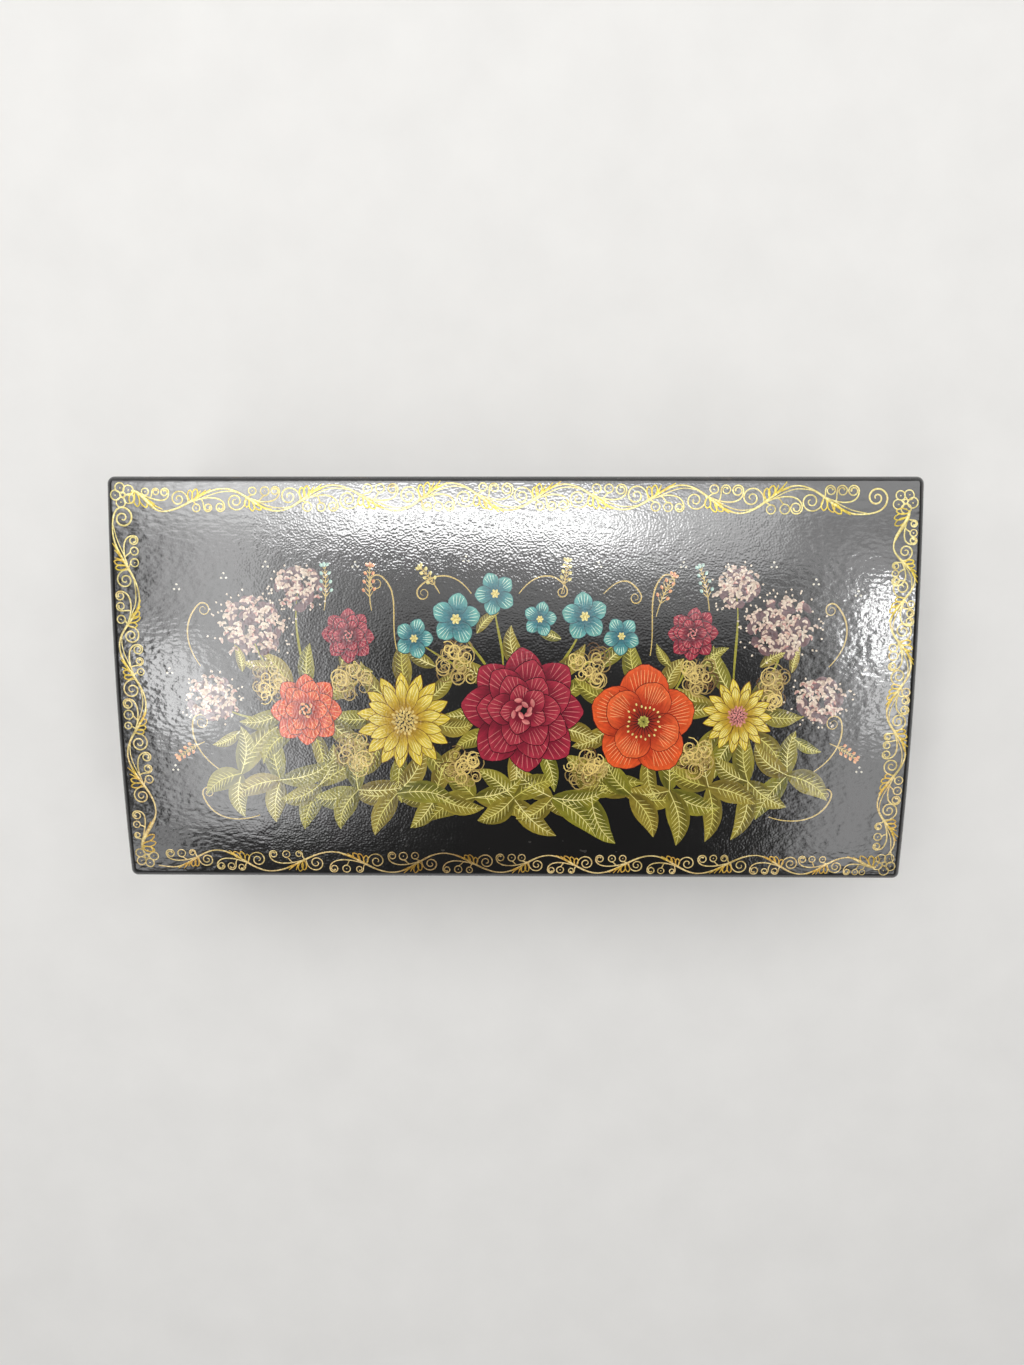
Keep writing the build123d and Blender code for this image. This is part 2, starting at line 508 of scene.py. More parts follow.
def buildLidPlate():
    bm = bmesh.new()
    bmesh.ops.create_cube(bm, size=1.0)
    height = lid["thickness"] - lid["paintRoom"]
    bmesh.ops.scale(bm, vec=(2 * halfLength, 2 * halfDepth, height), verts=bm.verts)
    bmesh.ops.translate(bm, vec=(0, 0, -height / 2), verts=bm.verts)
    upright = [e for e in bm.edges if e.verts[0].co.z * e.verts[1].co.z == 0
               and abs(e.verts[0].co.z - e.verts[1].co.z) > height / 2]
    bevelEdges(bm, upright, lid["cornerRadius"], 8)
    top = [e for e in bm.edges if all(v.co.z > -1e-7 for v in e.verts)]
    bevelEdges(bm, top, lid["topRounding"], 7)
    under = [e for e in bm.edges if all(v.co.z < 1e-7 - height for v in e.verts)]
    bevelEdges(bm, under, lid["underRounding"], 4)
    # cut the flat board into facets, then lay it on the arch
    hold = lid["hold"]
    flatX = halfLength - lid["topRounding"]
    flatY = halfDepth - lid["topRounding"]
    redX = halfLength - lid["redMargin"][0]
    redY = halfDepth - lid["redMargin"][1]
    count = int(2 * flatY / lid["cut"])
    cutsY = [-flatY + hold + (2 * flatY - 2 * hold) * n / count for n in range(count + 1)]
    cutAcross(bm, cutsY, (0, 1, 0))
    cutAcross(bm, [-flatX + hold, -redX, -flatX / 2, 0, flatX / 2, redX, flatX - hold], (1, 0, 0))
    for face in bm.faces:
        middle = face.calc_center_median()
        below = middle.z < lid["underRounding"] / 4 - height
        face.material_index = int(below and abs(middle.x) < redX and abs(middle.y) < redY)
    for vert in bm.verts:
        vert.co.z += lacquerZ(vert.co.y)
    board = finishPiece(bm, "lid_board", "lid", [lidLacquer, redLacquer])
    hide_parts("lid_plate")


buildLidPlate()
print("lid board modelled")

# the carried-over pieces keep their shapes and get their finish
finishes = {
    "body_walls": wallLacquer,
    "bottom_board": boardLacquer,
    "lid_rim": rimLacquer,
    "hinge_pin": pinSteel,
}
for name, node in nodes.items():
    if name.startswith("liner_"):
        finishes[name] = redLacquer
    elif "_knuckle_" in name:
        finishes[name] = hingeBrass
    if name in finishes:
        node.data.materials.clear()
        node.data.materials.append(finishes[name])
print("case finished:", ", ".join(sorted(finishes)))

# the gold scroll along each side of the lid, from one corner flower to the next
scroll = {
    "stemWidth": 0.36 * mm,
    "curlWidth": 0.285 * mm,
    "fineWidth": 0.23 * mm,
    "relief": 0.06,  # height of a line as a share of its width
    "lift": 0.003 * mm,
    "leafLift": 0.0048 * mm,
    "curlPlace": (-2.3 * mm, 0.95 * mm),  # a big curl's middle from its root: along, and across the band
    "curlTurns": 1.8,
    "beadPlaces": (0.13, 0.34, 0.55),  # share of the way from one knot to the next
    "beadRadius": 1.06 * mm,
    # leaves at a knot: lean, foot, length, and whether it's an outlined leaf or one stroke
    "edgeFan": ((-6, 0.6, 2.5, True), (14, 1.1, 2.5, True), (34, 1.7, 2.4, False),
                (50, 2.4, 2.7, False), (64, 3.2, 2.8, False)),
    "pictureFan": ((-2, 0.3, 2.2, True), (20, 0.9, 2.5, True), (40, 1.6, 2.6, True),
                   (54, 2.5, 2.8, False), (64, 3.4, 2.6, False)),
    "startFan": ((-8, 0.5, 2.5, True), (14, 1.0, 3.0, True), (36, 1.6, 2.9, True),
                 (54, 2.4, 3.0, False), (64, 3.2, 3.2, False)),
    "leafWidth": 1.15 * mm,
    "strandGap": 1.3 * mm,
    "secondGap": 0.72 * mm,
    "band": 2.6 * mm,  # half width of the widest band; narrower ones are drawn smaller
    "seed": 11,
}
# where the stem turns, in millimetres along each side from its first corner and in from its edge;
# the place of its corner flower; how it ends, in a curl with this middle and radius or at a goal by
# the next flower; how heavy the brush was; and whether bends are doubled by a second line
sides = {
    "back": {
        "turns": ((11.0, 6.8), (23.2, 2.4), (33.5, 6.7), (44.6, 1.7), (57.0, 6.6), (67.8, 1.3),
                  (79.0, 6.5), (90.0, 1.5), (101.3, 6.4), (112.8, 1.7), (124.0, 7.1), (135.2, 1.8),
                  (147.2, 7.3)),
        "flower": (3.3, 3.6),
        "curl": (150.6, 4.1, 2.05),
        "weight": 1.06,
        "doubled": True,
    },
    "right": {
        "turns": ((13.5, 5.9), (19.9, 1.5), (28.4, 5.9), (36.9, 1.4), (46.3, 5.6), (54.9, 1.3),
                  (65.2, 6.1), (73.8, 1.9)),
        "flower": (4.8, 3.8),
        "goal": (76.2, 2.8),
        "weight": 1.06,
        "doubled": True,
    },
    "front": {
        "turns": ((11.2, 4.9), (20.6, 1.15), (30.2, 5.3), (41.8, 1.2), (51.5, 5.1), (62.6, 1.2),
                  (72.7, 5.1), (82.6, 1.25), (94.5, 5.5), (105.2, 1.15), (117.6, 5.7), (130.5, 1.35),
                  (141.4, 6.0), (150.8, 2.2)),
        "flower": (3.5, 3.5),
        "goal": (153.9, 2.5),
        "weight": 0.90,
        "doubled": False,
    },
    "left": {
        "turns": ((14.8, 6.6), (26.6, 1.8), (37.2, 6.2), (48.8, 1.6), (58.2, 6.0), (71.6, 1.15)),
        "flower": (4.5, 3.8),
        "curl": (73.9, 3.2, 2.1),
        "weight": 1.04,
        "doubled": True,
    },
}
rosette = {"petals": 5, "petalRadius": 0.95 * mm, "reach": 1.46 * mm, "eye": 0.4 * mm, "dot": 0.36 * mm}


def onSide(side, along, inward):
    if side == "back":
        return Vector((-halfLength + along, halfDepth - inward))
    if side == "right":
        return Vector((halfLength - inward, halfDepth - along))
    if side == "front":
        return Vector((halfLength - along, -halfDepth + inward))
    return Vector((-halfLength + inward, -halfDepth + along))


def newLineWork(name):
    curve = bpy.data.curves.new(name, "CURVE")
    curve.dimensions = "3D"
    curve.bevel_depth = 1.0
    curve.bevel_resolution = 1
    curve.use_fill_caps = True
    return curve


def addLine(curve, points, widths):
    spline = curve.splines.new("POLY")
    spline.points.add(len(points) - 1)
    for point, spot, width in zip(spline.points, points, widths):
        point.co = (spot[0], spot[1], 0.0, 1.0)
        point.radius = width / 2


def lineWorkToPiece(curve, name, material, lift):
    drawn = bpy.data.objects.new(name + "_line", curve)
    bpy.context.scene.collection.objects.link(drawn)
    bpy.context.view_layer.update()
    settled = drawn.evaluated_get(bpy.context.evaluated_depsgraph_get())
    mesh = bpy.data.meshes.new_from_object(settled)
    bpy.data.objects.remove(drawn)
    mesh.name = name
    for vert in mesh.vertices:
        ground = lacquerZ(vert.co.y) - edgeDrop(vert.co.x, vert.co.y)
        vert.co.z = ground + lift + vert.co.z * scroll["relief"]
    mesh.polygons.foreach_set("use_smooth", [True] * len(mesh.polygons))
    return settlePiece(mesh, name, "lid", [material])


def rightOf(ahead):
    return Vector((ahead.y, -ahead.x))


def bezier(first, second, third, fourth, count):
    points = []
    for n in range(count + 1):
        u = n / count
        w = 1 - u
        points.append(first * w ** 3 + second * 3 * w * w * u + third * 3 * w * u * u + fourth * u ** 3)
    return points


def swell(count, thin, thick):
    # widths of one brush line: it swells soon and tapers slowly
    widths = []
    for n in range(count):
        u = n / max(1, count - 1)
        widths.append(thin + (thick - thin) * math.sin(math.pi * (0.1 + 0.85 * u) ** 0.75))
    return widths


class Stem:
    # the waving main stem of one side; along and inward are metres from the side's corner and edge
    def __init__(self, values):
        self.turns = [(along * mm, inward * mm) for along, inward in values["turns"]]
        self.flower = Vector(values["flower"]) * mm
        self.stops = [(self.flower.x + 1.7 * mm, self.flower.y - 0.8 * mm)] + self.turns

    def levelAt(self, along, out):
        # the band's border here, toward the edge or the picture
        marks = self.turns[1::2] if out < 0 else self.turns[0::2]
        if along <= marks[0][0]:
            return marks[0][1]
        for (a0, i0), (a1, i1) in zip(marks, marks[1:]):
            if along <= a1:
                return i0 + (i1 - i0) * (along - a0) / (a1 - a0)
        return marks[-1][1]

    def halfAt(self, along):
        return (self.levelAt(along, 1) - self.levelAt(along, -1)) / 2

    def inwardAt(self, along):
        for (a0, i0), (a1, i1) in zip(self.stops, self.stops[1:]):
            if along <= a1:
                u = max(0.0, (along - a0) / (a1 - a0))
                return i0 + (i1 - i0) * (1 - math.cos(math.pi * u)) / 2
        return self.stops[-1][1]

    def at(self, along):
        return Vector((along, self.inwardAt(along)))

    def heading(self, along):
        return (self.at(along + 0.05 * mm) - self.at(along - 0.05 * mm)).normalized()


class Border:
    # draws one side; points are (along, inward), and out is -1 toward the edge and 1 toward the picture
    def __init__(self, side, values, rng):
        self.side = side
        self.weight = values["weight"]
        self.rng = rng
        self.stem = Stem(values)
        self.curve = newLineWork("scroll_" + side)
        self.leafCurve = newLineWork("leaves_" + side)

    def line(self, points, widths, curve=None):
        addLine(curve or self.curve, [onSide(self.side, p[0], p[1]) for p in points],
                [width * self.weight for width in widths])

    def dot(self, spot, half, ends, middle):
        step = Vector((half, 0))
        self.line([spot - step, spot, spot + step], [ends, middle, ends])

    def spiral(self, centre, start, radii, turns, count, out):
        points = []
        for n in range(count + 1):
            u = n / count
            angle = start + 2 * math.pi * turns * u
            points.append(centre + Vector((math.cos(angle), out * math.sin(angle))) * radii(u))
        return points

    def bigCurl(self, knot, out, size):
        root = self.stem.at(knot)
        size *= self.rng.uniform(0.93, 1.07)
        step = Vector((scroll["curlPlace"][0], out * scroll["curlPlace"][1])) * size
        start = math.atan2(-step.y * out, -step.x)
        reach = step.length
        turns = scroll["curlTurns"] * self.rng.uniform(0.92, 1.06)

        def curling(u):
            return reach * (0.82 - 0.69 * u + 0.18 * math.exp(-14 * u))

        points = self.spiral(root + step, start, curling, turns, 40, out)
        self.line(points, swell(len(points), scroll["fineWidth"] * 0.8, scroll["curlWidth"]))

    def tailedRing(self, root, ahead, low, middle, own, out, width, kind):
        # one stroke from the root round the ring: up its far side, along its foot, or up its near side
        turns = self.rng.uniform(1.3, 1.6)

        def curling(u):
            return own * (1 - 0.25 * u - 0.35 * u * u)

        if kind == "foot":
            end = middle - Vector((0, out * own))
            gap = end.x - root.x
            tail = bezier(root, root + ahead * gap * 0.5, end - Vector((gap * 0.4, 0)), end, 12)
            ring = self.spiral(middle, -math.pi / 2, lambda u: own * (1 - 0.06 * u), 1.1, 20, out)
        elif kind == "near":
            end = middle - Vector((own, 0))
            tail = bezier(root, root + ahead * own * 0.4, Vector((end.x, low)), end, 12)
            ring = self.spiral(middle, 0.0, curling, turns, 22, out)
            ring = [Vector((2 * middle.x - spot.x, spot.y)) for spot in ring]
        else:
            end = middle + Vector((own, 0))
            tail = bezier(root, root + ahead * (end.x - root.x) * 0.5, Vector((end.x, low)), end, 14)
            ring = self.spiral(middle, 0.0, curling, turns, 22, out)
        points = tail + ring[1:]
        widths = swell(len(points), width * 0.8, width * 1.15)
        if kind != "foot":
            widths[-4:] = [width * share for share in (1.1, 1.4, 1.6, 1.3)]  # paint gathers at the end
        self.line(points, widths)
        return tail

    def beads(self, knot, reach, out, size):
        # rings on a strand that leaves the stem at the knot and runs beside it
        stem = self.stem
        rings = []
        for n, share in enumerate(scroll["beadPlaces"]):
            own = scroll["beadRadius"] * size * (0.84 + 0.08 * n) * self.rng.uniform(0.88, 1.1)
            along = knot + share * reach + self.rng.uniform(-0.15, 0.15) * mm
            rings.append((Vector((along, stem.levelAt(along, out) - out * (own - 0.1 * mm))), own))
        middle, own = rings[-1]
        start = knot - 0.7 * mm
        low = stem.inwardAt(middle.x) + out * scroll["strandGap"] * size
        strand = self.tailedRing(stem.at(start), stem.heading(start), low, middle, own, out,
                                 scroll["fineWidth"] * 1.1, "far")
        for middle, own in rings[:-1]:
            kind = self.rng.choice(("foot", "foot", "near"))
            back = own * 1.5
            foot = min(range(1, len(strand)), key=lambda k: abs(strand[k].x - middle.x + back))
            ahead = (strand[foot] - strand[foot - 1]).normalized()
            low = middle.y - out * own * 1.15
            self.tailedRing(strand[foot], ahead, low, middle, own, out, scroll["fineWidth"], kind)
            if kind == "foot":
                self.dot(middle, 0.12 * mm, scroll["fineWidth"] * 0.6, scroll["fineWidth"] * 1.3)

    def secondLine(self, start, end, out):
        # a finer line inside the stem's bend, from one knot almost to the next
        points = []
        for n in range(23):
            u = n / 22
            along = start + (end - start) * u
            gap = scroll["secondGap"] * math.sin(math.pi * u ** 0.8) ** 0.7
            points.append(self.stem.at(along) + Vector((0, out * gap)))
        self.line(points, swell(len(points), scroll["fineWidth"] * 0.65, scroll["fineWidth"] * 0.9))

    def leaf(self, root, lean, length, width, out):
        # an outlined leaf: up one edge and down the other
        ahead = Vector((math.sin(lean), out * math.cos(lean)))
        bulge = rightOf(ahead) * width * 0.66
        low = root + ahead * length * 0.35
        high = root + ahead * length * 0.85
        tip = root + ahead * length
        points = bezier(root, low + bulge, high + bulge, tip, 8)
        points += bezier(tip, high - bulge, low - bulge, root, 8)[1:]
        thick = scroll["fineWidth"] * self.rng.uniform(0.95, 1.25)
        self.line(points, swell(len(points), thick * 0.85, thick * 1.1), self.leafCurve)

    def blade(self, root, lean, length, bend, out):
        ahead = Vector((math.sin(lean), out * math.cos(lean)))
        across = rightOf(ahead) * bend
        points = bezier(root, root + ahead * length * 0.4, root + ahead * length * 0.8 + across * 0.4,
                        root + ahead * length + across, 8)
        widths = [scroll["curlWidth"] * (1.65 - 1.2 * n / 8) for n in range(9)]
        self.line(points, widths, self.leafCurve)

    def fan(self, knot, out, size, plan):
        for turn, foot, length, outlined in plan:
            root = self.stem.at(knot + foot * mm * size)
            lean = math.radians(turn + self.rng.uniform(-6, 6))
            room = out * (self.stem.levelAt(root.x, out) - root.y) + 0.4 * mm
            if out < 0:
                room = min(room + 0.6 * mm, root.y - 1.0 * mm)
            longest = max(0.7 * mm, room / math.cos(lean))
            length = min(length * mm * size * self.rng.uniform(0.9, 1.1), longest)
            if outlined:
                self.leaf(root, lean, length, scroll["leafWidth"] * min(size, length / (2.0 * mm)), out)
            else:
                self.blade(root, lean, length, self.rng.uniform(0.0, 0.3) * mm, out)

    def mainStem(self):
        points = []
        widths = []
        for (a0, _), (a1, _) in zip(self.stem.stops, self.stem.stops[1:]):
            for n in range(18):
                along = a0 + (a1 - a0) * n / 18
                points.append(self.stem.at(along))
                widths.append(scroll["stemWidth"] * (0.8 + 0.5 * math.sin(math.pi * n / 18) ** 2))
        points.append(Vector(self.stem.stops[-1]))
        widths.append(scroll["stemWidth"] * 0.8)
        for n in range(15):  # a bold first stroke
            widths[n] = scroll["stemWidth"] * (1.05 + math.sin(math.pi * n / 15))
        self.line(points, widths)

    def closingCurl(self, place, inward, radius):
        # the stem ends in a wide curl beside the next corner flower
        start = Vector(self.stem.turns[-1])
        centre = Vector((place, inward)) * mm
        radius *= mm
        out = 1 if centre.y > start.y else -1
        side = centre + Vector((radius, 0))
        near = start + Vector(((side.x - start.x) * 0.62, 0))
        far = Vector((side.x, start.y * 0.75 + side.y * 0.25))
        sweep = bezier(start, near, far, side, 14)
        ring = self.spiral(centre, 0.0, lambda u: radius * (1 - 0.88 * u ** 0.9), 1.6, 40, out)
        points = sweep + ring[1:]
        self.line(points, swell(len(points), scroll["fineWidth"] * 0.8, scroll["stemWidth"]))

    def closingStroke(self, goal):
        # the stem runs out to the next corner flower
        start = Vector(self.stem.turns[-1])
        gap = goal - start
        points = bezier(start, start + Vector((gap.x * 0.5, 0)), goal - gap * 0.25, goal, 12)
        self.line(points, [scroll["stemWidth"] * (0.85 - 0.02 * n) for n in range(13)])

    def cornerFlower(self):
        middle = self.stem.flower
        eye = self.spiral(middle, 0, lambda u: rosette["eye"], 1.0, 12, 1)
        self.line(eye, [scroll["fineWidth"] * 0.8] * len(eye))
        turn = self.rng.uniform(0, 1)
        for n in range(rosette["petals"]):
            angle = 2 * math.pi * (n + turn) / rosette["petals"]
            centre = middle + Vector((math.cos(angle), math.sin(angle))) * rosette["reach"]
            radius = rosette["petalRadius"] * self.rng.uniform(0.92, 1.06)
            wobble = self.rng.uniform(0, 6)

            def wavy(u):
                return radius * (1 + 0.07 * math.sin(9.4 * u + wobble))

            petal = self.spiral(centre, angle + math.pi, wavy, 1.02, 20, 1)
            self.line(petal, swell(len(petal), scroll["fineWidth"] * 0.8, scroll["fineWidth"] * 1.1))
            self.dot(centre, 0.1 * mm, rosette["dot"] * 0.5, rosette["dot"])

    def draw(self, values):
        stem = self.stem
        self.cornerFlower()
        self.mainStem()
        turns = stem.turns
        knots = []
        for (a0, i0), (a1, i1) in zip(turns, turns[1:]):
            out = -1 if i0 > i1 else 1  # open side of the hollow that ends here
            knots.append((a0 + (a1 - a0) * 0.42, out))
        knots.append((knots[-1][0] + 10.6 * mm, 0))
        for (knot, out), (ahead, _) in zip(knots, knots[1:]):
            fit = min(stem.halfAt(knot) / scroll["band"], (ahead - knot) / (9.8 * mm))
            self.bigCurl(knot, out, fit)
            self.fan(knot, out, fit, scroll["edgeFan"] if out < 0 else scroll["pictureFan"])
            self.beads(knot, ahead - knot, -out, fit)
            if values["doubled"]:
                self.secondLine(knot + 0.6 * mm, ahead - 1.6 * mm, -out)
        # the first hollow, beside the corner flower
        start = stem.stops[0][0]
        size = 0.85 * stem.halfAt(start) / scroll["band"]
        self.beads(start + 1.6 * mm, (knots[0][0] - start) * 0.8, -1, size)
        self.fan(start - 0.2 * mm, 1, 1.0, scroll["startFan"])
        if "goal" in values:
            self.closingStroke(Vector(values["goal"]) * mm)
        else:
            self.closingCurl(*values["curl"])
        return [
            lineWorkToPiece(self.curve, "gold_scroll_" + self.side, fineGold, scroll["lift"]),
            lineWorkToPiece(self.leafCurve, "gold_leaves_" + self.side, richGold, scroll["leafLift"]),
        ]


scrollRng = random.Random(scroll["seed"])
scrolls = []
for side, values in sides.items():
    scrolls += Border(side, values, scrollRng).draw(values)
print("gold scroll drawn,", sum(len(piece.data.polygons) for piece in scrolls), "faces")


# the picture: a garland of flowers and leaves in thin coats of paint, each stroke a sheet on the arch
picture = {
    "seed": 23,
    "coat": 0.003 * mm,  # from one layer to the next
    "film": 0.0025 * mm,
    "leaves": 2,  # the first layers of leaves and flowers
    "flowers": 8,
    "stretch": (1.04, 1.11),
    "drop": 0.6,
}
paintBox = {
    "crimson": ((0.050, 0.002, 0.008), (0.22, 0.005, 0.024), (0.44, 0.020, 0.050), (0.82, 0.32, 0.28)),
    "vermilion": ((0.20, 0.010, 0.004), (0.62, 0.045, 0.010), (0.86, 0.13, 0.026), (0.95, 0.56, 0.24)),
    "yellow": ((0.34, 0.16, 0.010), (0.66, 0.45, 0.026), (0.83, 0.66, 0.075), (0.94, 0.86, 0.38)),
    "turquoise": ((0.018, 0.11, 0.15), (0.05, 0.27, 0.29), (0.20, 0.52, 0.42), (0.68, 0.88, 0.72)),
    "olive": ((0.032, 0.036, 0.004), (0.115, 0.115, 0.008), (0.34, 0.31, 0.030), (0.66, 0.60, 0.13)),
    "cream": ((0.26, 0.13, 0.13), (0.54, 0.31, 0.27), (0.78, 0.58, 0.44), (0.93, 0.83, 0.66)),
    "earth": ((0.085, 0.030, 0.007), (0.24, 0.105, 0.020), (0.52, 0.30, 0.060), (0.82, 0.62, 0.20)),
}
# outlines of the petals
paintLine = {
    "crimson": (0.020, 0.001, 0.004),
    "vermilion": (0.11, 0.004, 0.002),
    "yellow": (0.17, 0.070, 0.005),
    "turquoise": (0.006, 0.040, 0.060),
}


def blend(first, second, share):
    share = min(1.0, max(0.0, share))
    return tuple(a + (b - a) * share for a, b in zip(first, second))


def heading(degrees):
    return Vector((math.cos(math.radians(degrees)), math.sin(math.radians(degrees))))


def between(first, second, count):
    return [first.lerp(second, k / count) for k in range(count + 1)]


class Paint:
    # strokes of one piece; spots are lid millimetres, and layers count coats of paint
    def __init__(self):
        self.bm = bmesh.new()
        self.tint = self.bm.verts.layers.float_color.new("tint")
        self.brush = self.bm.verts.layers.float_vector.new("brush")
        self.strokes = 0

    def stroke(self, spine, widths, layer, tintAt, across=2):
        count = len(spine)
        stretch = picture["stretch"]
        grid = bmesh.ops.create_grid(self.bm, x_segments=across, y_segments=count - 1, size=1.0)
        length = sum((b - a).length for a, b in zip(spine, spine[1:]))
        rights = []
        for n in range(count):
            rights.append(rightOf((spine[min(n + 1, count - 1)] - spine[max(n - 1, 0)]).normalized()))
        self.strokes += 1
        for vert in grid["verts"]:
            u = vert.co.x
            k = round((vert.co.y + 1) / 2 * (count - 1))
            v = k / (count - 1)
            spot = spine[k] + rights[k] * (u * widths[k] / 2)
            spot = Vector((spot.x * stretch[0], spot.y * stretch[1] - picture["drop"])) * mm
            vert[self.tint] = (*tintAt(u, v), 1.0)
            vert[self.brush] = (u * widths[k] / 2, v * length, self.strokes * 1.7)
            vert.co = (spot.x, spot.y, lacquerZ(spot.y) + layer * picture["coat"])

    def hair(self, spine, width, layer, colour, taper=0.75):
        last = len(spine) - 1
        widths = [width * (1 - taper * abs(2 * n / last - 0.7) / 1.3) for n in range(last + 1)]
        self.stroke(spine, widths, layer, lambda u, v: colour, 1)

    def dab(self, spot, length, width, angle, layer, colour, glow):
        # a comma of thick paint with a round head
        ahead = heading(angle)
        spine = [spot + ahead * length * (n / 4 - 0.5) for n in range(5)]
        widths = [width * share for share in (0.25, 0.8, 1.0, 0.82, 0.22)]
        self.stroke(spine, widths, layer, lambda u, v: blend(colour, glow, 0.5 + 0.4 * u + 0.3 * v), 2)

    def petal(self, root, angle, length, width, layer, colours, outline,
              bend=0.0, shoulder=0.75, blunt=0.62):
        ahead = heading(angle)
        side = rightOf(ahead)
        spine = [root + ahead * length * n / 8 + side * bend * length * (n / 8) ** 2 for n in range(9)]
        swells = [math.sin(math.pi * (0.04 + 0.95 * n / 8) ** shoulder) for n in range(9)]
        widths = [max(0.07, width * share ** blunt) for share in swells]
        dark, middle, light = colours[:3]

        def tintAt(u, v):
            body = blend(dark, middle, 1.7 * v - 0.1)
            return blend(body, light, max(0.0, v - 0.45) * 1.3 + 0.45 * u * u * v)

        self.stroke(spine, widths, layer, tintAt, 4)
        rims = [[], []]
        for n in range(1, 9):
            across = rightOf((spine[n] - spine[n - 1]).normalized()) * (widths[n] / 2 - 0.03)
            rims[0].append(spine[n] - across)
            rims[1].append(spine[n] + across)
        self.hair(rims[0] + rims[1][::-1], 0.15, layer + 0.4, outline, 0.5)
        return spine

    def leaf(self, root, angle, length, width, layer, colours, bend):
        # dark and light half on each side of the rib
        ahead = heading(angle)
        side = rightOf(ahead)
        spine = [root + ahead * length * n / 11 + side * bend * length * math.sin(math.pi * n / 14)
                 for n in range(12)]
        swells = [math.sin(math.pi * (0.02 + 0.97 * n / 11) ** 0.82) for n in range(12)]
        widths = [max(0.06, width * share ** 0.9) for share in swells]
        dark, middle, light = colours[:3]

        def tintAt(u, v):
            if u < 0:
                half = blend(dark, middle, 0.55 + 0.5 * v)
            else:
                half = blend(middle, light, 0.25 + 0.55 * v)
            return blend(half, light, 0.35 * abs(u) ** 3)

        self.stroke(spine, widths, layer, tintAt, 4)
        return spine, widths

    def finish(self, name, material):
        bmesh.ops.solidify(self.bm, geom=self.bm.faces[:], thickness=picture["film"])
        bmesh.ops.recalc_face_normals(self.bm, faces=self.bm.faces)
        for edge in self.bm.edges:
            edge.smooth = edge.calc_face_angle(0.0) < 0.6  # the rim of a sheet stays sharp
        print(name, self.strokes, "strokes,", len(self.bm.faces), "faces")
        finishPiece(self.bm, name, "lid", [material])


# rings of petals from the outside in, as shares of the flower's radius
petalRings = {
    # reach, count, length, width
    "peony": ((1.0, 8, 0.60, 0.66), (0.80, 7, 0.54, 0.58), (0.60, 6, 0.44, 0.50), (0.40, 5, 0.34, 0.38)),
    # count, reach, width
    "daisy": ((15, 1.0, 0.30), (13, 0.80, 0.26)),
    "poppy": ((5, 1.0, 1.06), (4, 0.74, 0.86)),
}
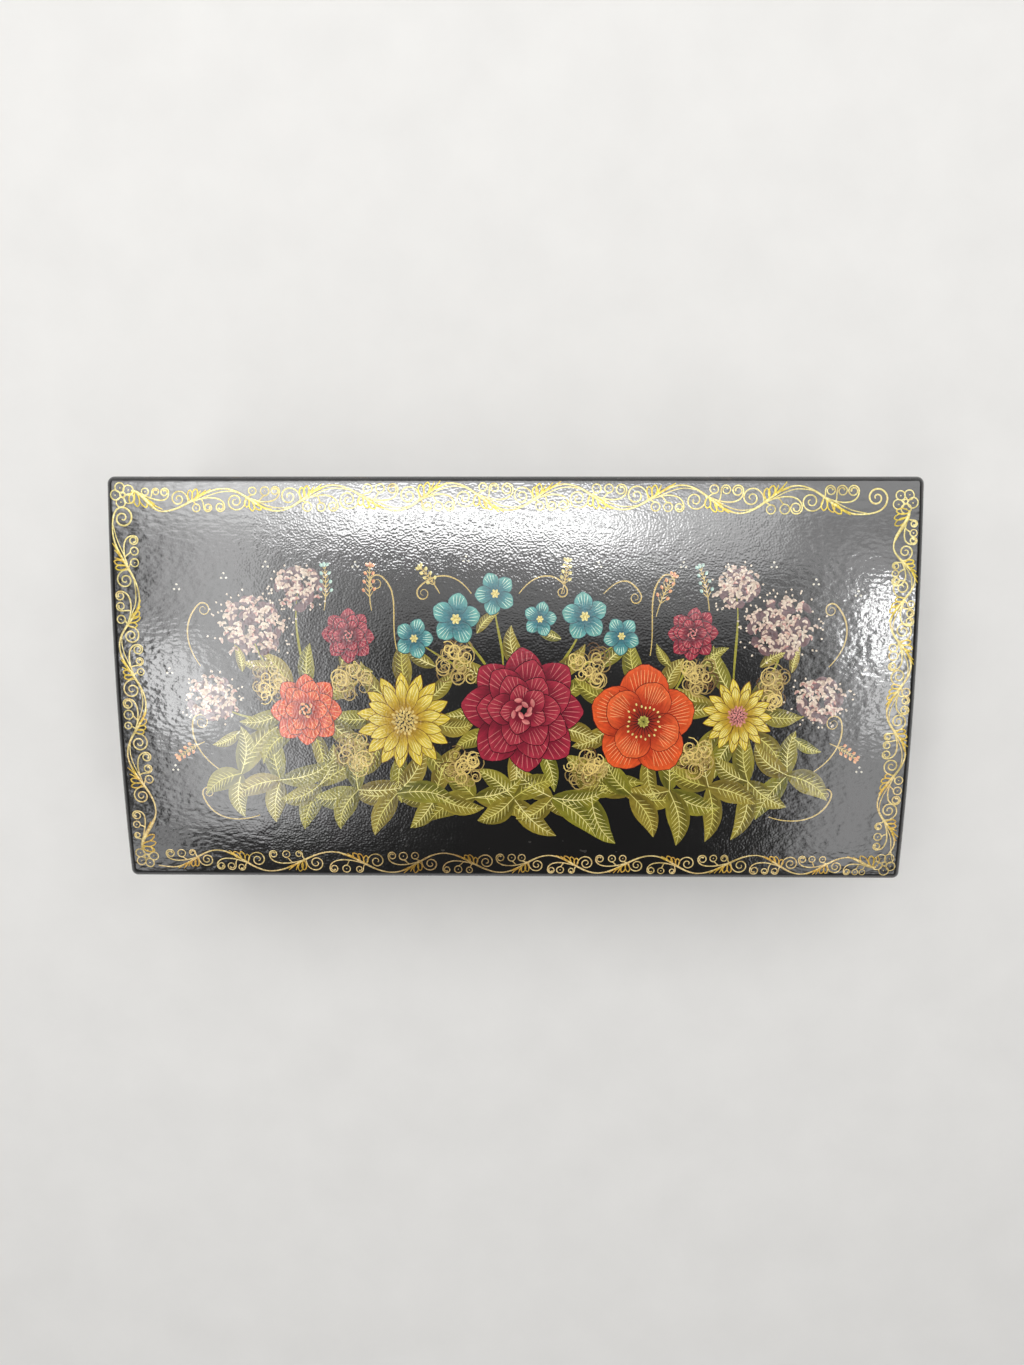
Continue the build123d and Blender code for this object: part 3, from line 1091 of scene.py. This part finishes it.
# where things lie, in millimetres from the middle of the lid, and angles in degrees
garland = {
    "gold": (0.62, 0.45, 0.14),
    "anther": (0.012, 0.010, 0.010),
    "sprayShade": (0.085, 0.050, 0.058),
    "dotTones": ((0.62, 0.55, 0.40), (0.92, 0.88, 0.74)),
    "sprayFlat": 0.8,
    "tuftCurls": 26,
    # step, height of the middle, and bow of the leafy swag, and the leaves at each step: turn, length
    "swag": (7.6, -20.5, 0.0016),
    "swagLeaves": ((-128, 10.5), (-62, 9.5), (52, 9.0), (118, 9.0)),
    # rings of leaves behind the flowers: x, y, radius, count, turn
    "crowns": ((2, -4, 10.5, 9, 15), (-21, -6, 8.5, 8, 40), (25, -6, 9.0, 8, 10), (-40, -4, 6.0, 7, 30),
               (43, -5, 6.0, 7, 5)),
    # stems up to the smaller flowers
    "stems": (
        ((-4, 2), (-6, 6), (-9, 8), (-11, 12)), ((-2, 4), (-2, 9), (-4, 12), (-3.5, 17)),
        ((-8, 2), (-12, 5), (-15, 6), (-19, 9)), ((8, 3), (10, 6), (12, 8), (13.5, 12.5)),
        ((10, 2), (14, 5), (17, 6), (20.5, 9)), ((-28, -1), (-29, 2), (-31, 4), (-31.5, 9)),
        ((31, 0), (33, 3), (33, 5), (34, 9.5)), ((-44, 0), (-47, 3), (-49, 6), (-50, 10)),
        ((-45, -6), (-50, -6), (-54, -5), (-57, -3)), ((47, 0), (50, 3), (51, 6), (51, 10)),
        ((48, -6), (52, -7), (55, -6), (58, -3)), ((-40, 2), (-41, 8), (-42, 12), (-41, 17)),
        ((42, 1), (42, 8), (43, 12), (42, 17)),
    ),
    # x, y, angle, length
    "stemLeaves": (
        (-15, 4, 140, 7), (-7, 10, 35, 5.5), (9, 9, 150, 5.5), (17, 4, 35, 7), (-27, 3, 160, 6),
        (-33, 4, 60, 5), (30, 4, 120, 5), (36, 4, 30, 6), (-46, 4, 170, 6), (-52, 3, 110, 5),
        (47, 4, 20, 6), (53, 3, 70, 5), (-53, -8, 200, 6), (54, -9, -20, 6),
    ),
    # tufts of curls between the flowers: x, y, radius
    "tufts": (
        (-10.5, 4.5, 3.6), (14.5, 4.0, 3.6), (-31, 1.5, 3.0), (35, 2, 3.0), (-47, 1, 3.0), (50, 0, 3.0),
        (-10, -15, 3.2), (14, -15, 3.2), (-31, -12, 3.0), (35, -13, 3.0),
    ),
    # x, y, radius, turn
    "stars": ((-11, 12.5, 4.7, 10), (-3.5, 17, 3.9, 40), (-19, 9, 3.7, 0), (13.5, 13, 4.4, 25),
              (20.5, 9.5, 3.5, 50), (5, 12.5, 3.2, 5)),
    # x, y, radius, number of blossoms
    "sprays": ((-50, 11, 6.6, 120), (-58, -2, 5.0, 80), (-41, 18, 4.6, 66), (51, 11, 6.6, 120),
               (58.5, -2, 5.0, 80), (42, 18, 4.6, 66)),
    # gold tendrils, each with the radius of the curl at its end
    "tendrils": (
        (((-56, -16), (-60, -14), (-63, -10), (-62, -6)), -1.6),
        (((57, -16), (61, -14), (64, -10), (63, -6)), 1.6),
        (((-22, 6), (-24, 12), (-21, 17), (-25, 20)), 1.5),
        (((26, 6), (27, 12), (25, 17), (28, 20)), -1.5),
        (((-8, 17), (-11, 21), (-15, 21), (-18, 18)), 1.3),
        (((17, 17), (20, 20), (22, 20), (24, 17)), -1.2),
        (((1, 17), (4, 21), (8, 21), (10, 18)), -1.1),
        (((-60, 4), (-63, 8), (-63, 12), (-60, 15)), -1.3),
        (((60, 4), (64, 8), (64, 12), (61, 15)), 1.3),
        (((-50, -24), (-56, -26), (-60, -24), (-61, -20)), -1.2),
        (((50, -24), (56, -26), (61, -24), (62, -20)), 1.2),
    ),
    # x, y, angle, length, berries
    "sprigs": (
        (-27, 14, 100, 8, "vermilion"), (-14, 17, 120, 6, "yellow"), (27, 13, 75, 8, "vermilion"),
        (9, 17, 70, 6, "yellow"), (-60, -10, 200, 6, "vermilion"), (61, -10, -20, 6, "vermilion"),
        (-36, 14, 80, 8, "turquoise"), (37, 14, 95, 8, "turquoise"),
    ),
    # triple dots: x, y
    "dots": ((-64, 18), (-55, 20), (-47, 22), (-30, 22), (-9, 23), (16, 22), (32, 22), (49, 22),
             (57, 19), (65, 17), (-66, 3), (67, 3), (-66, -15), (67, -15)),
}


class Garland:
    def __init__(self):
        self.rng = random.Random(picture["seed"])
        self.leafPaint = Paint()
        self.flowerPaint = Paint()
        self.sprayPaint = Paint()
        self.goldLines = Paint()

    def veinedLeaf(self, root, angle, length, width):
        rng = self.rng
        layer = picture["leaves"] + rng.randrange(4)
        bend = rng.choice((-1, 1)) * rng.uniform(0.08, 0.2)
        warm = rng.random()
        colours = tuple(blend(c, e, 0.35 * warm) for c, e in zip(paintBox["olive"], paintBox["earth"]))
        spine, widths = self.leafPaint.leaf(root, angle, length, width, layer, colours, bend)
        gold = blend(paintBox["olive"][3], paintBox["yellow"][3], rng.random())
        self.goldLines.hair(spine, 0.2, layer + 1, gold)
        for n in range(2, 10):
            ahead = (spine[n + 1] - spine[n]).normalized()
            for turn in (-1, 1):
                tip = spine[n] + (ahead * 0.55 + rightOf(ahead) * turn * 0.62) * widths[n] * 0.56
                self.goldLines.hair(between(spine[n], tip, 3), 0.13, layer + 1, gold)

    def petalHairs(self, spine, width, layer, colour, count):
        # fine light lines drawn in from a petal's rim
        ahead = (spine[-1] - spine[0]).normalized()
        side = rightOf(ahead)
        reach = (spine[-1] - spine[0]).length
        for n in range(count):
            u = (n + 0.5) / count * 2 - 1
            tip = spine[-1] + side * u * width * 0.36 - ahead * reach * (0.10 + 0.16 * u * u)
            root = spine[0] + ahead * reach * self.rng.uniform(0.38, 0.55) + side * u * width * 0.22
            self.goldLines.hair(between(tip, root, 4), 0.12, layer, colour)

    def peony(self, spot, radius, name, base=picture["flowers"], rings=4):
        colours = paintBox[name]
        glow = blend(colours[2], colours[3], 0.7)
        hairs = 5 if radius > 8 else 3
        for r, (reach, count, length, width) in enumerate(petalRings["peony"][:rings]):
            layer = base + 4 * r
            shares = (0.10 + 0.13 * r, 0.10 + 0.13 * r, 0.03 + 0.03 * r)
            tone = [blend(colours[k], colours[k + 1], share) for k, share in enumerate(shares)]
            for n in range(count):
                angle = 360 * (n + 0.5 * r + self.rng.uniform(-0.1, 0.1)) / count
                size = self.rng.uniform(0.94, 1.05) * radius
                root = spot + heading(angle) * (reach - length) * radius
                spine = self.flowerPaint.petal(root, angle, length * size, width * size, layer + n % 3,
                                               tone, paintLine[name], self.rng.uniform(-0.1, 0.1))
                self.petalHairs(spine, width * size, layer + 3, glow, hairs)
        heart = base + 4 * rings
        for n in range(9):
            place = spot + heading(n * 40) * radius * 0.09 * (1 + n % 2)
            self.flowerPaint.dab(place, radius * 0.13, radius * 0.075, n * 40 + 60, heart, *colours[2:])

    def daisy(self, spot, radius, name, heart):
        colours = paintBox[name]
        base = picture["flowers"]
        for r, (count, reach, width) in enumerate(petalRings["daisy"]):
            layer = base + 4 * r
            tone = [blend(colours[k], colours[k + 1], 0.2 * r) for k in range(3)]
            for n in range(count):
                angle = 360 * (n + 0.5 * r + self.rng.uniform(-0.12, 0.12)) / count
                length = radius * (reach - 0.2) * self.rng.uniform(0.94, 1.04)
                root = spot + heading(angle) * radius * 0.2
                spine = self.flowerPaint.petal(root, angle, length, radius * width, layer + n % 3, tone,
                                               paintLine[name], self.rng.uniform(-0.06, 0.06), 1.1, 0.7)
                self.petalHairs(spine, radius * width, layer + 3, colours[3], 3)
        core = paintBox[heart]
        for n in range(46):
            angle = n * 137.5
            place = spot + heading(angle) * (radius * 0.27 * math.sqrt((n + 0.5) / 46))
            tone = blend(core[1], core[3], (n % 5) / 5)
            self.flowerPaint.dab(place, radius * 0.085, radius * 0.06, angle, base + 9, tone, core[3])

    def poppy(self, spot, radius, name):
        colours = paintBox[name]
        glow = blend(colours[2], colours[3], 0.7)
        yellow = paintBox["yellow"]
        olive = paintBox["olive"]
        base = picture["flowers"]
        for r, (count, reach, width) in enumerate(petalRings["poppy"]):
            layer = base + 4 * r
            tone = [blend(colours[k], colours[k + 1], 0.08 * r) for k in range(3)]
            for n in range(count):
                angle = 360 * (n + 0.5 * r + self.rng.uniform(-0.06, 0.06)) / count + 20
                size = radius * self.rng.uniform(0.96, 1.04)
                root = spot + heading(angle) * radius * 0.06
                spine = self.flowerPaint.petal(root, angle, size * (reach - 0.06), size * width * 0.86,
                                               layer + n % 3, tone, paintLine[name], 0.0, 1.15, 0.55)
                self.petalHairs(spine, size * width * 0.8, layer + 3, glow, 9)
        for n in range(22):
            angle = n * 360 / 22
            tip = spot + heading(angle) * radius * self.rng.uniform(0.24, 0.34)
            self.goldLines.hair(between(spot, tip, 3), 0.16, base + 9, garland["anther"])
            self.flowerPaint.dab(tip, 0.5, 0.36, angle, base + 10, *yellow[2:])
        for n in range(9):
            place = spot + heading(n * 40) * radius * 0.06
            self.flowerPaint.dab(place, radius * 0.1, radius * 0.07, n * 40, base + 10,
                                 olive[1], olive[3])

    def starFlower(self, spot, radius, name, turn):
        colours = paintBox[name]
        yellow = paintBox["yellow"]
        base = picture["flowers"] + 4
        for n in range(5):
            angle = 72 * n + turn
            root = spot + heading(angle) * radius * 0.1
            spine = self.flowerPaint.petal(root, angle, radius * 0.9, radius * 0.82, base + n % 3,
                                           colours, paintLine[name], 0.0, 1.15, 0.6)
            self.petalHairs(spine, radius * 0.8, base + 3, colours[3], 4)
        for n in range(7):
            place = spot + heading(n * 60) * radius * (0.13 if n else 0.0)
            self.flowerPaint.dab(place, radius * 0.16, radius * 0.13, n * 60, base + 4,
                                 yellow[1], yellow[3])

    def spray(self, spot, radius, count):
        # a head of small pale blossom, dabbed from dark to light
        rng = self.rng
        colours = paintBox["cream"]
        flat = garland["sprayFlat"]
        base = picture["flowers"]
        shade = garland["sprayShade"]
        paler = blend(shade, colours[0], 0.6)

        def around(angle):
            away = heading(angle)
            return Vector((away.x, away.y * flat)) * radius

        for n in range(count // 3):
            angle = rng.uniform(0, 360)
            place = spot + around(angle) * math.sqrt(rng.random()) * 0.95
            length = rng.uniform(1.8, 2.8)
            width = rng.uniform(1.3, 1.9)
            self.sprayPaint.dab(place, length, width, angle + 90, base - 3 + n % 3, shade, paler)
        for n in range(count):
            level = n / count
            angle = rng.uniform(0, 360)
            away = heading(angle) * radius * math.sqrt(rng.random()) * (1.08 - 0.3 * level)
            place = spot + Vector((away.x, away.y * flat + 0.06 * radius * level))
            pale = rng.random() > 0.2
            warm = blend(colours[1], colours[2], level) if pale else paintBox["crimson"][2]
            glow = blend(colours[2], colours[3], level)
            facing = rng.uniform(20, 160)
            for turn in (-32, 32):  # each blossom is a crescent of two dabs
                tip = place + heading(facing + turn) * 0.34
                length = rng.uniform(0.75, 1.1)
                width = rng.uniform(0.42, 0.58)
                layer = base + int(level * 10)
                self.sprayPaint.dab(tip, length, width, facing + turn + 90, layer, warm, glow)
        for n in range(count // 3):
            angle = rng.uniform(0, 360)
            place = spot + around(angle) * rng.uniform(1.0, 1.35)
            self.sprayPaint.dab(place, 0.42, 0.36, angle, base, *colours[2:])

    def tendril(self, points, colour, width, curl=0.0):
        spine = bezier(*[Vector(point) for point in points], 16)
        if curl:
            ahead = (spine[-1] - spine[-2]).normalized()
            middle = spine[-1] + Vector((-ahead.y, ahead.x)) * curl
            start = spine[-1] - middle
            for n in range(1, 23):
                angle = 2 * math.pi * 1.4 * n / 22 * (1 if curl > 0 else -1)
                turned = Vector((start.x * math.cos(angle) - start.y * math.sin(angle),
                                 start.x * math.sin(angle) + start.y * math.cos(angle)))
                spine.append(middle + turned * (1 - 0.75 * n / 22))
        self.goldLines.hair(spine, width, 1, colour, 0.8)

    def curls(self, spot, radius):
        # a tuft of brown and gold curls, dark ones first
        rng = self.rng
        count = garland["tuftCurls"]
        for n in range(count):
            share = n / count
            middle = spot + heading(rng.uniform(0, 360)) * radius * math.sqrt(rng.random())
            own = rng.uniform(0.6, 1.15)
            start = rng.uniform(0, 360)
            turn = rng.choice((-1, 1))
            spine = []
            for k in range(19):
                u = k / 18
                reach = own * (1.75 - 1.45 * u) if u < 0.3 else own * (1.32 - 1.05 * (u - 0.3) / 0.7)
                spine.append(middle + heading(start + turn * 560 * u) * reach)
            tone = share + rng.uniform(-0.15, 0.15)
            colour = blend(paintBox["earth"][0], paintBox["earth"][3], tone)
            self.goldLines.hair(spine, 0.26, picture["leaves"] + 4.2 + share, colour, 0.6)

    def sprig(self, root, angle, length, colour, berries):
        # a stalk with paired slips and berries at its tip
        base = picture["flowers"]
        ahead = heading(angle)
        side = rightOf(ahead) * self.rng.choice((-1, 1))
        spine = [root + ahead * length * n / 10 + side * length * 0.16 * (n / 10) ** 2
                 for n in range(11)]
        self.goldLines.hair(spine, 0.24, 1, colour, 0.6)
        for n in range(3, 10):
            for turn in (-38, 38):
                slip = heading(math.degrees(math.atan2(*(spine[n] - spine[n - 1]).yx)) + turn)
                reach = length * 0.17 * (1.25 - n / 12)
                self.goldLines.hair([spine[n] + slip * reach * k / 3 for k in range(4)], 0.2, 1, colour)
                if n % 2:
                    place = spine[n] + slip * (reach + 0.3)
                    self.sprayPaint.dab(place, 0.75, 0.6, angle + turn, base, berries[1], berries[3])
        self.sprayPaint.dab(spine[-1], 0.9, 0.7, angle, base, berries[1], berries[3])

    def tripleDots(self, spot):
        for n in range(3):
            place = spot + heading(90 + 120 * n) * 0.55
            self.sprayPaint.dab(place, 0.42, 0.38, 0, 1, *garland["dotTones"])

    def drawLeaves(self):
        rng = self.rng
        step, height, bow = garland["swag"]
        for n in range(-7, 8):
            spot = Vector((n * step, height + bow * (n * step) ** 2))
            lean = 90 - 10.5 * n
            for turn, length in garland["swagLeaves"]:
                angle = lean + turn + rng.uniform(-10, 10)
                self.veinedLeaf(spot, angle, length * rng.uniform(0.88, 1.12), rng.uniform(3.6, 4.6))
        for x, y, start, count, turn in garland["crowns"]:
            for n in range(count):
                angle = turn + 360 * n / count
                root = Vector((x, y)) + heading(angle) * start * 0.72
                angle += rng.uniform(-14, 14)
                self.veinedLeaf(root, angle, rng.uniform(7.0, 9.5), rng.uniform(2.9, 3.8))
        for points in garland["stems"]:
            self.tendril(points, paintBox["olive"][2], 0.5)
        for x, y, turn, length in garland["stemLeaves"]:
            self.veinedLeaf(Vector((x, y)), turn, length, length * 0.36)

    def drawFlowers(self):
        for x, y, radius in garland["tufts"]:
            self.curls(Vector((x, y)), radius)
        self.daisy(Vector((-21, -6)), 9.2, "yellow", "earth")
        self.poppy(Vector((25, -6)), 10.2, "vermilion")
        self.peony(Vector((2, -4)), 11.8, "crimson", base=11)
        self.peony(Vector((-40, -4)), 6.8, "vermilion", rings=3)
        self.daisy(Vector((43, -5)), 6.8, "yellow", "crimson")
        self.peony(Vector((34, 10)), 4.8, "crimson", rings=3)
        self.peony(Vector((-31.5, 9.5)), 5.0, "crimson", rings=3)
        for x, y, radius, turn in garland["stars"]:
            self.starFlower(Vector((x, y)), radius, "turquoise", turn)
        for x, y, radius, count in garland["sprays"]:
            self.spray(Vector((x, y)), radius, count)

    def draw(self):
        gold = garland["gold"]
        self.drawLeaves()
        self.drawFlowers()
        for points, curl in garland["tendrils"]:
            self.tendril(points, gold, 0.3, curl)
        for x, y, angle, length, name in garland["sprigs"]:
            self.sprig(Vector((x, y)), angle, length, gold, paintBox[name])
        for place in garland["dots"]:
            self.tripleDots(Vector(place))
        self.leafPaint.finish("garland_leaves", picturePaint)
        self.flowerPaint.finish("garland_flowers", picturePaint)
        self.sprayPaint.finish("garland_sprays", picturePaint)
        self.goldLines.finish("garland_lines", linePaint)


Garland().draw()
print("picture painted")


# stage, light and camera
studio = {
    "floorSize": 1.2,
    "floorColour": (0.74, 0.73, 0.71),
    "floorDim": 0.96,
    "floorRough": 0.85,
    "floorShine": 0.2,
    "fade": (0.30, 0.80),
    "lampHeight": 0.745,
    "lampStep": 0.003,  # each lamp hangs this far below the last, so that none hides another
    "zenith": 0.04,
    "horizon": 0.80,
    "skyBand": (0.22, 0.75),
    "camera": (1.976 * mm, 34.048 * mm, 246.667 * mm),
    "tilt": (-9.432, 0.658, 0.032),
    "lens": 27.0066,
}
# softboxes hang level above the lid: middle, size, share of each half that fades, brightness, turn
softboxes = {
    "backBank": ((0.0, 0.46), (1.2, 0.66), (0.15, 0.18), 2.2, 0),
    "backLeft": ((-0.14, 0.39), (0.50, 0.36), (0.40, 0.20), 1.8, 0),
    "backRidge": ((-0.048, 0.162), (0.39, 0.086), (0.53, 0.20), 11.5, -5.5),
    "leftBank": ((-0.285, -0.045), (0.16, 0.79), (0.50, 0.25), 1.9, 0),
    "leftSpread": ((-0.235, -0.045), (0.29, 0.79), (0.95, 0.25), 2.1, 0),
    "leftLamp": ((-0.302, -0.12), (0.05, 0.19), (0.20, 0.30), 4.2, 8),
    "leftFoot": ((-0.37, -0.44), (0.13, 0.14), (0.60, 0.60), 2.0, 0),
    "backRight": ((0.135, 0.145), (0.27, 0.20), (0.60, 0.60), 3.0, 0),
    "rightBank": ((0.31, -0.17), (0.19, 0.70), (0.85, 0.22), 2.3, 0),
    "midVeil": ((0.06, 0.06), (0.60, 0.26), (0.70, 0.70), 1.0, 0),
    "rightLamp": ((0.307, -0.014), (0.019, 0.15), (0.30, 0.20), 18.0, 0),
    "rightTail": ((0.318, -0.13), (0.05, 0.18), (0.60, 0.60), 4.0, 0),
}


def fadeFloor(tree, shader):
    # far from the casket the floor goes over into the background
    away = fadeNode(tree, lengthNode(tree, objectCoords(tree)), *studio["fade"])
    path = addNode(tree, "ShaderNodeLightPath").outputs
    seen = mathNode(tree, "MAXIMUM", path["Is Camera Ray"], path["Is Glossy Ray"])
    seen = mathNode(tree, "MAXIMUM", seen, path["Is Transmission Ray"])
    glow = addNode(tree, "ShaderNodeEmission")
    glow.inputs["Color"].default_value = (studio["horizon"],) * 3 + (1.0,)
    mixed = addNode(tree, "ShaderNodeMixShader")
    tree.links.new(mathNode(tree, "MULTIPLY", seen, away), mixed.inputs[0])
    tree.links.new(shader.outputs[0], mixed.inputs[1])
    tree.links.new(glow.outputs[0], mixed.inputs[2])
    tree.links.new(mixed.outputs[0], tree.nodes["Material Output"].inputs["Surface"])


def buildFloor():
    bm = bmesh.new()
    bmesh.ops.create_grid(bm, x_segments=4, y_segments=4, size=studio["floorSize"])
    mesh = bpy.data.meshes.new("floor")
    bm.to_mesh(mesh)
    bm.free()
    material, tree, shader = newMaterial("floorPaper")
    grain = noiseNode(tree, objectCoords(tree), 60, 4.0)
    pale = studio["floorColour"]
    dim = tuple(value * studio["floorDim"] for value in pale)
    tree.links.new(rampNode(tree, grain, dim, pale), shader.inputs["Base Color"])
    shader.inputs["Roughness"].default_value = studio["floorRough"]
    shader.inputs["Specular IOR Level"].default_value = studio["floorShine"]
    fadeFloor(tree, shader)
    mesh.materials.append(material)
    floor = bpy.data.objects.new("floor", mesh)
    bpy.context.scene.collection.objects.link(floor)


def buildWorld():
    world = bpy.data.worlds.new("studio")
    bpy.context.scene.world = world
    world.use_nodes = True
    tree = world.node_tree
    up = splitNode(tree, addNode(tree, "ShaderNodeTexCoord").outputs["Generated"])[2]
    sky = rampNode(tree, up, (studio["horizon"],) * 3, (studio["zenith"],) * 3, *studio["skyBand"])
    tree.links.new(sky, tree.nodes["Background"].inputs["Color"])


def addSoftbox(name, height, spot, size, soft, brightness, turn):
    light = bpy.data.lights.new(name, "AREA")
    light.shape = "RECTANGLE"
    light.size, light.size_y = size
    light.energy = brightness * math.pi * size[0] * size[1]
    light.use_nodes = True
    tree = light.node_tree
    across = splitNode(tree, addNode(tree, "ShaderNodeNewGeometry").outputs["Parametric"])
    level = 1.0
    for axis in range(2):
        inward = mathNode(tree, "PINGPONG", across[axis], 0.5)
        level = mathNode(tree, "MULTIPLY", fadeNode(tree, inward, 0.0, soft[axis] / 2), level)
    tree.links.new(level, tree.nodes["Emission"].inputs["Strength"])
    lamp = bpy.data.objects.new(name, light)
    bpy.context.scene.collection.objects.link(lamp)
    lamp.location = (*spot, height)
    lamp.rotation_euler.z = math.radians(turn)


def buildCamera():
    lens = bpy.data.cameras.new("camera")
    lens.lens = studio["lens"]
    lens.sensor_width = 36.0
    lens.clip_start = 0.01
    camera = bpy.data.objects.new("camera", lens)
    bpy.context.scene.collection.objects.link(camera)
    camera.location = studio["camera"]
    camera.rotation_euler = [math.radians(angle) for angle in studio["tilt"]]
    bpy.context.scene.camera = camera


buildFloor()
buildWorld()
for n, (name, values) in enumerate(softboxes.items()):
    addSoftbox(name, studio["lampHeight"] - studio["lampStep"] * n, *values)
buildCamera()
bpy.context.scene.view_settings.view_transform = "Standard"
